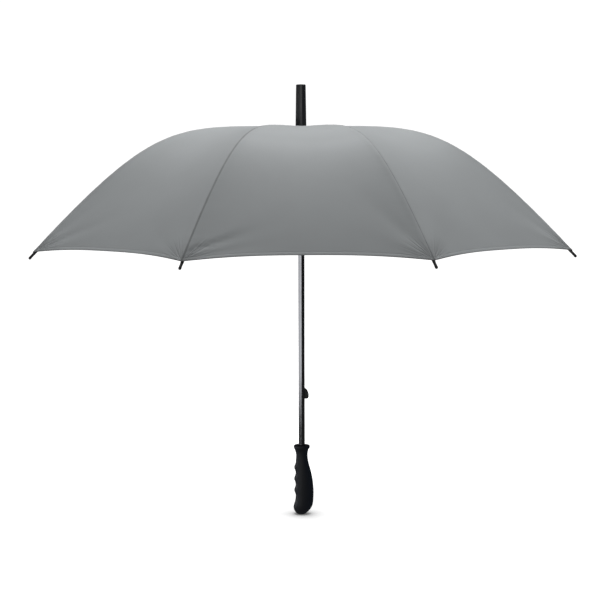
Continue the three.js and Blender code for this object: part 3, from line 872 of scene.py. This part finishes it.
def make_floor():
    """A pale floor, white but for the soft contact shadow round what stands on it."""
    floor = lathe("floor", [(0, -FLOOR_DROP), (FLOOR_RADIUS, -FLOOR_DROP)], 96, None)
    material, nodes, links, shader = node_material("pale_floor")
    cloud = noise(nodes, links, object_coordinates(nodes), 0.8, 2.0)
    links.new(ramp(nodes, links, cloud, [(0.3, 0.50), (0.7, 0.52)]), shader.inputs["Base Color"])
    shader.inputs["Roughness"].default_value = 0.9
    shader.inputs["Specular IOR Level"].default_value = 0.0
    contact = nodes.new("ShaderNodeAmbientOcclusion")
    contact.samples = 16
    contact.inputs["Distance"].default_value = 0.055
    links.new(ramp(nodes, links, contact.outputs["AO"], [(0.45, 0.1), (0.95, 0.95)]),
              shader.inputs["Emission Color"])
    shader.inputs["Emission Strength"].default_value = 1.0
    floor.data.materials[0] = material
    camera_only(floor)


def make_backdrop():
    """A plain white surround that only the camera sees; the lights alone light the object."""
    made = bmesh.new()
    bmesh.ops.create_uvsphere(made, u_segments=48, v_segments=24, radius=BACKDROP_RADIUS)
    mesh = bpy.data.meshes.new("backdrop")
    made.to_mesh(mesh)
    made.free()
    backdrop = new_object("backdrop", mesh)
    material = bpy.data.materials.new("backdrop_white")
    material.use_nodes = True
    nodes = material.node_tree.nodes
    nodes.clear()
    output, emission = nodes.new("ShaderNodeOutputMaterial"), nodes.new("ShaderNodeEmission")
    emission.inputs["Strength"].default_value = 1.05
    material.node_tree.links.new(emission.outputs["Emission"], output.inputs["Surface"])
    mesh.materials.append(material)
    camera_only(backdrop)


def make_world():
    """Soft light from all round, brightest overhead, with some thrown back from below."""
    world = bpy.data.worlds.new("studio")
    bpy.context.scene.world = world
    world.use_nodes = True
    nodes, links = world.node_tree.nodes, world.node_tree.links
    background = nodes["Background"]
    separate = nodes.new("ShaderNodeSeparateXYZ")
    links.new(nodes.new("ShaderNodeTexCoord").outputs["Generated"], separate.inputs["Vector"])
    height = map_range(nodes, links, separate.outputs["Z"], -1, 1, 0, 1)
    stops = [(0.0, 0.3), (0.4, 0.08), (0.62, 0.03), (0.78, 0.24), (1.0, 1.2)]
    colour = ramp(nodes, links, height, stops)
    links.new(colour, background.inputs["Color"])
    background.inputs["Strength"].default_value = 0.8


def area_light(name, location, target, width, height, power, diffuse=True, glossy=True):
    """A rectangle of light that the camera never sees. Without diffuse it only shows in reflections,
    and without glossy it never does."""
    light = new_object(name, bpy.data.lights.new(name, "AREA"))
    light.data.shape = "RECTANGLE"
    light.data.size, light.data.size_y = width, height
    light.data.energy = power
    light.location = Vector(location)
    light.rotation_mode = "QUATERNION"
    light.rotation_quaternion = (Vector(target) - Vector(location)).to_track_quat("-Z", "Y")
    light.visible_camera = False
    light.visible_diffuse = diffuse
    light.visible_glossy = glossy


make_floor()
make_backdrop()
make_world()
area_light("overhead", (0.0, 1.9, 3.6), (0, 0, 0.6), 2.6, 2.6, 152, glossy=False)
area_light("overhead_card", (0.0, 1.9, 3.6), (0, 0, 0.6), 2.6, 2.6, 54, diffuse=False)
area_light("left_side", (-3.8, 0.0, 1.0), (0, 0, 0.6), 1.8, 1.8, 14, glossy=False)
area_light("right_side", (3.8, 0.0, 1.0), (0, 0, 0.6), 1.8, 1.8, 41, glossy=False)
area_light("near_card", (-1.35, -2.1, 0.15), (0, 0, 0.15), 2.2, 0.7, 20, diffuse=False)
area_light("left_card", (-2.2, 0.5, 0.15), (0, 0, 0.15), 3.4, 0.7, 24, diffuse=False)
area_light("top_card", (0.2, -3.0, 1.25), (0, 0, 0.78), 1.2, 0.8, 16, diffuse=False)
bpy.context.scene.view_settings.view_transform = "Standard"
